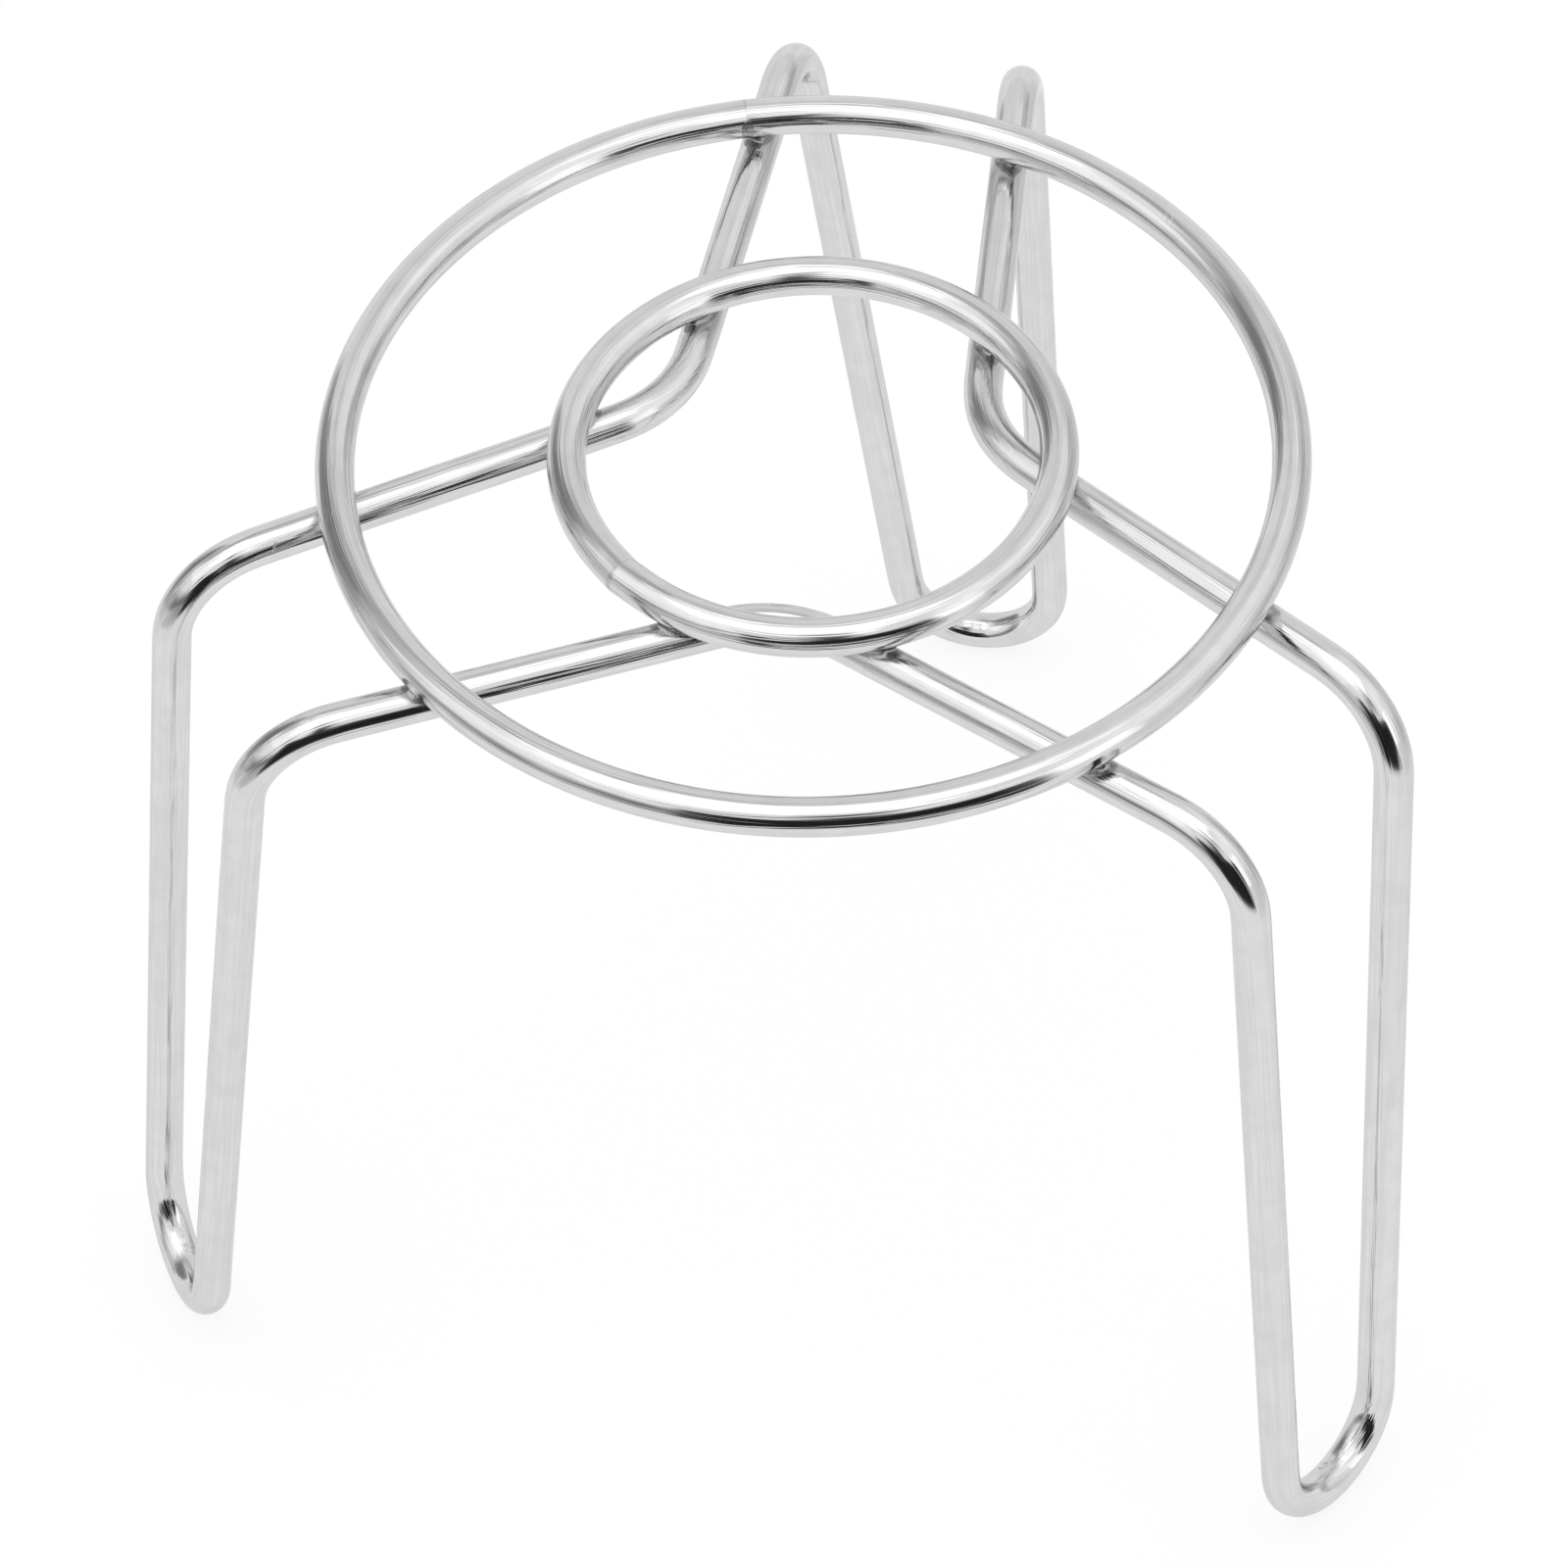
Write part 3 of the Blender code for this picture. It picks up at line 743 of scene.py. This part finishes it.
def add_card(name, azimuth, elevation, half_width, half_height, distance, axes, finish):
    """A part of a sphere round the rings, u and v from -1 to 1 across and up it: a curved studio card.

    axes are the directions that azimuth 0, azimuth 90 degrees and elevation 90 degrees stand for.
    """
    u, v = np.meshgrid(np.linspace(-1, 1, CARD_POINTS), np.linspace(-1, 1, CARD_POINTS))
    height = elevation + v * half_height
    ways = polar(np.cos(height), azimuth + u * half_width, np.sin(height)) @ np.array(axes)
    points = ways * distance + np.array(RINGS_MIDDLE)
    corner = np.arange(CARD_POINTS - 1)[:, None] * CARD_POINTS + np.arange(CARD_POINTS - 1)
    above = corner + CARD_POINTS
    quads = np.stack((corner, corner + 1, above + 1, above), axis=-1)
    mesh = bpy.data.meshes.new(name)
    mesh.from_pydata(points.reshape(-1, 3).tolist(), [], quads.reshape(-1, 4).tolist())
    set_attribute(mesh, "card", np.stack((u, v, np.zeros_like(u)), axis=-1))
    mesh.materials.append(finish)
    card = bpy.data.objects.new(name, mesh)
    card.visible_camera = False
    card.visible_shadow = False
    card.visible_diffuse = False
    bpy.context.scene.collection.objects.link(card)


def add_studio():
    """The white surround, the floor, the lamps and the cards that the steel mirrors."""
    add_world()
    add_floor()
    for name, (aside, rise, half_width, half_height, glow) in SOFTBOXES.items():
        size = [2 * LAMP_DISTANCE * math.tan(math.radians(half)) for half in (half_width, half_height)]
        add_softbox(name, FRONT + math.radians(aside), math.radians(rise), *size, glow)
    right, up, back = sight_axes()
    front = Vector((math.cos(FRONT), math.sin(FRONT), 0))
    level_axes = (front, Vector((-front.y, front.x, 0)), Vector((0, 0, 1)))
    for i, (name, (*angles, middle, rim, core)) in enumerate(CARDS.items()):
        axes = (up, right, back) if name in FACING_CAMERA else level_axes
        finish = card_finish(name, middle, rim, core)
        add_card(name, *map(math.radians, angles), CARD_DISTANCE + i * CARD_GAP, axes, finish)


# Making

def make_rings(bright, fused, hot_places):
    """Both rings and the seams that close them."""
    for name, radius, seam in RINGS:
        points, lay = skin(ring_path(radius, seam), RING_UP, WIRE_RADIUS)
        # Heat dulling and painted shade near the welds
        add_piece(f"{name}_wire", points, lay, heat_and_shade_at(points, hot_places), bright, name)
        centreline = turned(ring_at(radius, seam_places(RING_SEAM_LENGTH)), seam)
        bead, bead_lay = seam_skin(centreline, RING_UP)
        heat = np.full(bead.shape[:2], SEAM_HEAT)
        add_piece(f"{name}_seam", bead, bead_lay, heat, fused, f"{name}_butt_weld")


def make_legs(bright, fused, hot_places, shoulders, bottoms, elbows):
    """The three leg wires, worn flat underfoot, and the seams that join them to each other.

    Each wire's lay starts a metre on from the last one's, so that no two wires have the same lines.
    """
    points, lay = skin(leg_path(shoulders, bottoms, elbows), LEG_UP, WIRE_RADIUS)
    points[..., 2] = np.maximum(points[..., 2], 0)
    joint, way = leg_joint(shoulders, elbows)
    centreline = joint + way * seam_places(LEG_SEAM_LENGTH)[:, None]
    bead, bead_lay = seam_skin(centreline, LEG_UP)
    seam_heat = np.full(bead.shape[:2], SEAM_HEAT)
    for i, (leg, azimuth) in enumerate(LEGS):
        wire = turned(points, azimuth)
        wire_lay = lay + np.array((0, 0, i + 1.0))
        # Heat dulling and painted shade near the welds
        heat = heat_and_shade_at(wire, hot_places)
        add_piece(f"{leg}_leg_wire", wire, wire_lay, heat, bright, f"leg_wire_{leg}")
        seam = turned(bead, azimuth)
        add_piece(f"{leg}_leg_seam", seam, bead_lay, seam_heat, fused, f"leg_butt_weld_{leg}")


def weld_touches(shoulders, elbows):
    """Each place where a ring lies on an arm: ring, leg and side, touch, ring's radius and arm's way."""
    for leg, azimuth in LEGS:
        for side, shoulder, elbow in zip(("first", "second"), shoulders, elbows):
            way = turned(unit(shoulder - elbow), azimuth)
            for ring, radius, _ in RINGS:
                touch = turned(crossing(elbow, shoulder, radius), azimuth)
                touch[2] = (RING_LEVEL + ARM_LEVEL) / 2
                yield ring, leg, side, touch, radius, way


def make_welds(fused, touches):
    """A weld at each touch of a ring and an arm."""
    for ring, leg, side, touch, radius, way in touches:
        points, lay = weld_skin(touch, radius, way)
        # Full heat tint over the weld, partly painted shade of the crevice
        heat = np.full(points.shape[:2], WELD_HEAT_AND_SHADE)
        node = f"{ring}_weld_{leg}_{side}"
        add_piece(f"{leg}_{side}_{ring}_weld", points, lay, heat, fused, node)


bpy.context.scene.view_settings.view_transform = "Standard"
bright_wire = steel(
    "bright_drawn_wire",
    bright=(0.715, 0.715, 0.715, 1),
    shade=(0.57, 0.57, 0.57, 1),
    smooth=0.11,
    dull=0.34,
    lines_per_metre=1300.0,
    lump_height=0.3,
    scuffing=0.4,
)
weld_metal = steel(
    "weld_metal",
    bright=(0.6, 0.6, 0.595, 1),
    shade=(0.4, 0.4, 0.395, 1),
    smooth=0.22,
    dull=0.26,
    lines_per_metre=900.0,
    lump_height=1.0,
    scuffing=0.2,
)

leg_shoulders, leg_bottoms, leg_elbows = leg_corners()
touches = list(weld_touches(leg_shoulders, leg_elbows))
weld_places = np.array([touch for _, _, _, touch, _, _ in touches])
make_rings(bright_wire, weld_metal, weld_places)
make_legs(bright_wire, weld_metal, weld_places, leg_shoulders, leg_bottoms, leg_elbows)
make_welds(weld_metal, touches)
add_camera()
add_studio()
